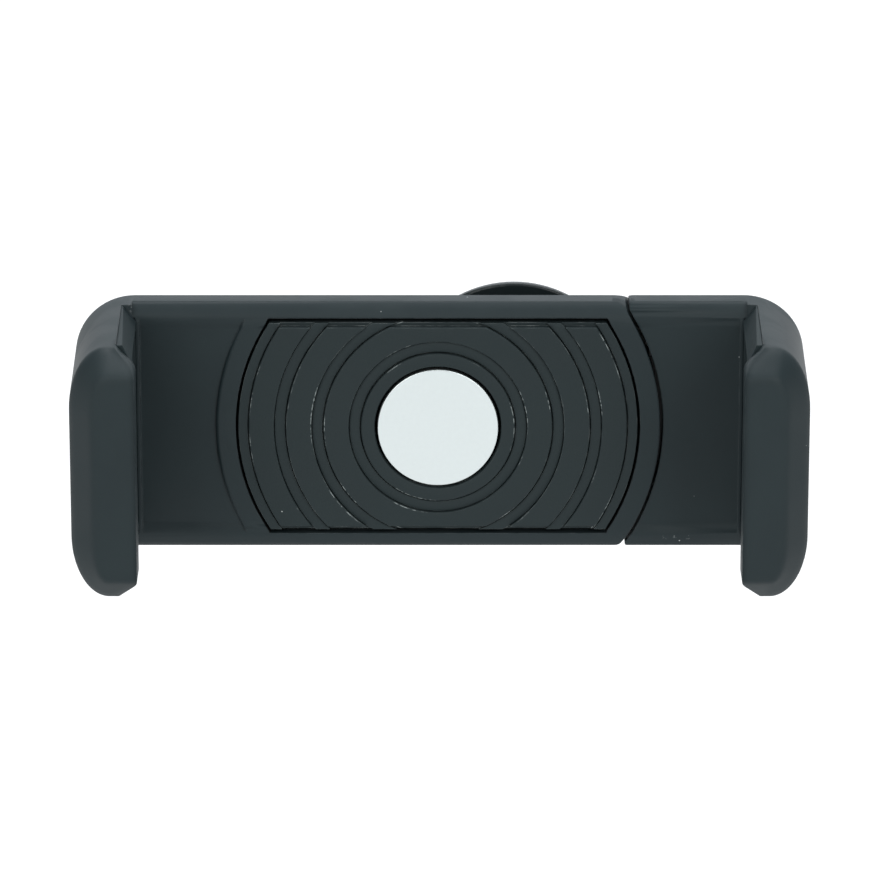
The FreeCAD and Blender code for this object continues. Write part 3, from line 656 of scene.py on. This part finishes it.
for node_name, body in (("main_housing", "housing"), ("jaw_shell", "jaw")):
    shell = worked_copy(node_name)
    sloped_dish(shell)
    rim = [e for e in shell.edges if on_dish_arc(e.verts[0]) and on_dish_arc(e.verts[1])
           and e.calc_face_angle(0) > rim_angle]
    bmesh.ops.bevel(
        shell, geom=rim, offset=dish_round, offset_type="OFFSET", segments=round_steps, profile=0.5,
        affect="EDGES", clamp_overlap=False, material=-1)
    bmesh.ops.bevel(
        shell, geom=lip_corner_edges(shell), offset=lip_corner_round, offset_type="OFFSET",
        segments=round_steps, profile=0.5, affect="EDGES", clamp_overlap=False, material=-1)
    new_piece(f"{node_name}_moulding", shell, shell_plastic, body, (node_name,))

# Return springs
# Two extension springs of bright wire pull the jaw in, each with closed coils and a hooked eye at
# both ends. They hook on steel pins, pressed into the housing and into the tongue.
wire_radius = 0.0002
coil_radius = 0.0009
coil_room = 1.04
eye_radius = 0.00085
eye_steps = 28
coil_steps = 18
wire_sides = 8
spring_pin_reach = 0.0019
wire_crease = math.radians(60)

for level_name in ("upper", "lower"):
    node_name = f"{level_name}_return_spring"
    low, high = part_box(node_name)
    axis_y, axis_z = (low[1] + high[1]) / 2, (low[2] + high[2]) / 2
    pins = [low[0] + eye_radius + wire_radius, high[0] - eye_radius - wire_radius]
    start_x, end_x = pins[0] + spring_pin_reach, pins[1] - spring_pin_reach
    turns = int((end_x - start_x) / (2 * wire_radius * coil_room))
    spring = bmesh.new()
    wire = bmesh.ops.create_circle(spring, cap_ends=True, radius=wire_radius, segments=wire_sides)
    bmesh.ops.rotate(
        spring, verts=wire["verts"], cent=(0, 0, 0), matrix=Matrix.Rotation(math.pi / 2, 3, "X"))
    bmesh.ops.translate(spring, verts=wire["verts"], vec=(start_x, axis_y, axis_z + coil_radius))
    step_x = (end_x - start_x) / (turns * coil_steps)
    bmesh.ops.spin(
        spring, geom=spring.verts[:] + spring.edges[:] + spring.faces[:], cent=(start_x, axis_y, axis_z),
        axis=(1, 0, 0), dvec=(step_x, 0, 0), angle=turns * 2 * math.pi, steps=turns * coil_steps)
    for pin_x, inward in ((pins[0], 1), (pins[1], -1)):
        eye = bmesh.ops.create_circle(spring, cap_ends=False, radius=wire_radius, segments=wire_sides)
        bmesh.ops.translate(spring, verts=eye["verts"], vec=(pin_x + eye_radius, axis_y, axis_z))
        rim = {e for v in eye["verts"] for e in v.link_edges}
        bmesh.ops.spin(
            spring, geom=eye["verts"] + list(rim), cent=(pin_x, axis_y, axis_z), axis=(0, 1, 0),
            angle=2 * math.pi, steps=eye_steps, use_merge=True)
        neck_length = spring_pin_reach - eye_radius
        lay = Matrix.Rotation(math.pi / 2, 4, "Y")
        middle = Vector((pin_x + inward * (eye_radius + neck_length / 2), axis_y, axis_z))
        bmesh.ops.create_cone(
            spring, cap_ends=True, segments=wire_sides, radius1=wire_radius, radius2=wire_radius,
            depth=neck_length, matrix=Matrix.Translation(middle) @ lay)
        spoke = Vector((start_x if inward > 0 else end_x, axis_y, axis_z + coil_radius / 2))
        bmesh.ops.create_cone(
            spring, cap_ends=True, segments=wire_sides, radius1=wire_radius, radius2=wire_radius,
            depth=coil_radius, matrix=Matrix.Translation(spoke))
    piece = new_piece(
        f"{level_name}_spring_wire", spring, bright_steel, None, (node_name,), wire_crease)
    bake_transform(piece)
for node_name in ("spring_anchor_pins", "spring_hook_pins"):
    finish_node(node_name, bright_steel)

# Screws
# Six small pan-head screws of black oxide steel, driven from behind: four hold the rear cover and
# two the jaw's. The rims of their heads are rounded, and the cross recess is left sharp.
screw_rim_round = 0.00042
screw_rim_step = 0.00035
screw_top_depth = 0.00001
fold_angle = math.radians(35)


def sharp_edges(mesh, angle=fold_angle):
    """The edges where two faces meet at more than the angle."""
    return [e for e in mesh.edges if e.calc_face_angle(0) > angle]


black_steel = bare_metal("black_steel", (0.055, 0.056, 0.058, 1), (0.32, 0.46), 0.0002)
for node_name, body in (("cover_screws", "housing"), ("jaw_screws", "jaw")):
    screw_set = worked_copy(node_name)
    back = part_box(node_name)[1][1]
    top_edges = [e for e in sharp_edges(screw_set) if min(v.co.y for v in e.verts) > back - screw_top_depth]
    rims = [e for e in top_edges if e.calc_length() < screw_rim_step]
    round_off(screw_set, rims, screw_rim_round, 5)
    new_piece(f"{node_name}_steel", screw_set, black_steel, body, (node_name,))

# Sliding tongue
# The flat bar that carries the jaw in and out of the housing, moulded in smooth black nylon. Two
# screw bosses of the jaw pass through its head, and the jaw's rear cover closes over it.
tongue_nylon = moulded(
    "tongue_nylon", (0.0070, 0.0120, 0.0135, 1), (0.0100, 0.0160, 0.0180, 1), plastic_rub_and_highlight,
    {"share": 0.04, "film": 0.03, "colour": dust_colour}, (0.30, 0.38),
    {"fineness": 1.2, "depth": 0.00001, "strength": 0.2}, 0.00015)
finish_node("slide_tongue", tongue_nylon)

# Rubber grips
# A thin rubber liner on each arm's inner face, glued in place, with a foot that fills a narrow slot.
# Its edges are soft, so that a dark line runs where it meets the arm.
grip_round = {"left": 0.0001, "right": 0.0002}
grip_foot = 0.0279
grip_foot_grow = 0.00033
arms_middle = 0.00015
grip_bend = math.radians(15)
grip_rubber = moulded(
    "grip_rubber", (0.0095, 0.0190, 0.0220, 1), (0.0130, 0.0235, 0.0265, 1), rubber_rub_and_highlight,
    {"share": 0.06, "film": 0.03, "colour": dust_colour}, (0.60, 0.70),
    {"fineness": 1.0, "depth": 0.00002, "strength": 0.3}, 0.00015)
for side_name, body in (("left", "housing"), ("right", "jaw")):
    liner = worked_copy(f"{side_name}_grip")
    side = -1 if side_name == "left" else 1
    for vert in liner.verts:
        if abs(side * (vert.co.x - arms_middle) - grip_foot) < near and vert.co.y > frame_front - near:
            vert.co.x -= side * grip_foot_grow
    round_off(liner, sharp_edges(liner, grip_bend), grip_round[side_name], 3)
    new_piece(f"{side_name}_grip_liner", liner, grip_rubber, body, (f"{side_name}_grip",))

# Face pad
# The rubber pad that the phone's back rests on: a ring round the disc and curved ribs outside it,
# moulded with the base in one piece, cut off straight above and below, and glued in the opening.
pad_front = 0.0003
crease_depth = 0.00035
crease_outside = 0.0001
crease_inside = 0.00005
pad_grow = 0.00015
pad_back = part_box("face_pad")[1][1]
pad_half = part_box("face_pad")[1][2]
pad_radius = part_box("face_pad")[1][0] + pad_grow
rib_end_gap = 0.00035
rib_half = pad_half - rib_end_gap
rib_sink = 0.00005
rib_width = 0.0023
rib_gap = 0.0011
rib_count = 3
rib_round = 0.00012
ring_inner = 0.00575
ring_outer = 0.0070
ring_round = 0.00016
pad_round = 0.00012
pad_steps = 144
cut_reach = 1e-7


def ring_band(inner, outer, front, back):
    """A flat ring about the disc's axis, spun from its square section."""
    band = bmesh.new()
    corners = [(inner, front), (outer, front), (outer, back), (inner, back)]
    section = [band.verts.new((radius, depth, 0)) for radius, depth in corners]
    sides = [band.edges.new((a, b)) for a, b in zip(section, section[1:] + section[:1])]
    bmesh.ops.spin(
        band, geom=section + sides, cent=(0, 0, 0), axis=(0, 1, 0), angle=2 * math.pi,
        steps=pad_steps, use_merge=True)
    return band


def cut_level(band, half):
    """Cuts a band off straight above and below, and closes the cuts."""
    for up in (1, -1):
        cut = bmesh.ops.bisect_plane(
            band, geom=band.verts[:] + band.edges[:] + band.faces[:], dist=cut_reach,
            plane_co=(0, 0, up * half), plane_no=(0, 0, up), clear_outer=True)
        rims = [part for part in cut["geom_cut"] if isinstance(part, bmesh.types.BMEdge)]
        bmesh.ops.holes_fill(band, edges=rims, sides=0)


def joined(whole, part):
    """Adds one mesh to another."""
    data = bpy.data.meshes.new("part")
    part.to_mesh(data)
    part.free()
    whole.from_mesh(data)
    bpy.data.meshes.remove(data)


pad = bmesh.new()
crease_floor = pad_front + crease_depth
base = ring_band(ring_inner, pad_radius, crease_floor, pad_back)
cut_level(base, pad_half)
joined(pad, base)
ring = ring_band(ring_inner, ring_outer, 0, crease_floor + rib_sink)
round_off(ring, sharp_edges(ring), ring_round, 3)
joined(pad, ring)
for number_out in range(rib_count + 1):
    last = number_out == rib_count
    floor_start = ring_outer + number_out * (rib_gap + rib_width)
    rib_start = floor_start + rib_gap
    floor_end = pad_radius if last else rib_start - crease_inside
    ground = ring_band(floor_start + crease_outside, floor_end, pad_front, crease_floor + rib_sink)
    cut_level(ground, pad_half)
    round_off(ground, sharp_edges(ground), pad_round / 3, 2)
    joined(pad, ground)
    if last:
        break
    rib = ring_band(rib_start, rib_start + rib_width, 0, crease_floor + rib_sink)
    cut_level(rib, rib_half)
    round_off(rib, sharp_edges(rib), rib_round, 3)
    joined(pad, rib)
# The pad's pale edge line is a painted highlight
pad_edge_highlight = {"colour": (0.22, 0.25, 0.25, 1), "strength": 0.9, "polish": 0.05}
pad_rubber = moulded(
    "pad_rubber", (0.0165, 0.0260, 0.0285, 1), (0.0200, 0.0305, 0.0330, 1), pad_edge_highlight,
    {"share": 0.05, "film": 0.012, "colour": dust_colour}, (0.56, 0.66),
    {"fineness": 1.0, "depth": 0.00002, "strength": 0.3}, 0.00008, line=0.00012)

# Painted highlights lie along the ribs' edges in broken pale stretches
highlight_inset = 0.00007
highlight_line = 0.00005
stretch_cell = 0.0045
stretch_breaks = (0.54, 0.64)
crumb_cell = 0.00035
crumb_breaks = (0.40, 0.60)
highlight_colour = (0.30, 0.34, 0.34, 1)
pitch = rib_gap + rib_width
tree = pad_rubber.node_tree
shader = tree.nodes["Principled BSDF"]
place = tree.nodes.new("ShaderNodeTexCoord").outputs["Object"]
radius = from_axis(tree, place)
nearest = []
for edge_radius in (ring_outer - highlight_inset, ring_outer + rib_gap + highlight_inset):
    beyond = calc(tree, "SUBTRACT", radius, edge_radius)
    nearest.append(calc(tree, "PINGPONG", beyond, pitch / 2))
line = spread(tree, calc(tree, "MINIMUM", nearest[0], nearest[1]), highlight_line, highlight_line / 3)
stretch = spread(tree, cloud(tree, place, stretch_cell, 2.0), *stretch_breaks)
crumbs = spread(tree, cloud(tree, place, crumb_cell, 2.0), *crumb_breaks)
pale_edges = calc(tree, "MULTIPLY", line, calc(tree, "MULTIPLY", stretch, crumbs))
plain_colour = shader.inputs["Base Color"].links[0].from_socket
tree.links.new(mixed(tree, pale_edges, plain_colour, highlight_colour), shader.inputs["Base Color"])
new_piece("ribbed_pad", pad, pad_rubber, "housing", ("face_pad",))

# Round disc
# A plain disc of pale satin metal, punched with a slightly rolled edge and glued in the middle of
# the pad, flush with its ribs.
disc_low, disc_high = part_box("badge_disc")
disc_edge_round = 0.0001
disc_metal = bare_metal("disc_metal", (0.68, 0.735, 0.735, 1), (0.34, 0.40), 0.0004, 0.98, 0.0000006)
disc = bmesh.new()
bmesh.ops.create_cone(
    disc, cap_ends=True, segments=pad_steps, radius1=disc_high[0], radius2=disc_high[0],
    depth=disc_high[1] - disc_low[1])
bmesh.ops.rotate(disc, verts=disc.verts, cent=(0, 0, 0), matrix=Matrix.Rotation(math.pi / 2, 3, "X"))
bmesh.ops.translate(disc, verts=disc.verts, vec=(0, (disc_low[1] + disc_high[1]) / 2, 0))
round_off(disc, sharp_edges(disc), disc_edge_round, 4)
new_piece("round_disc", disc, disc_metal, "housing", ("badge_disc",))
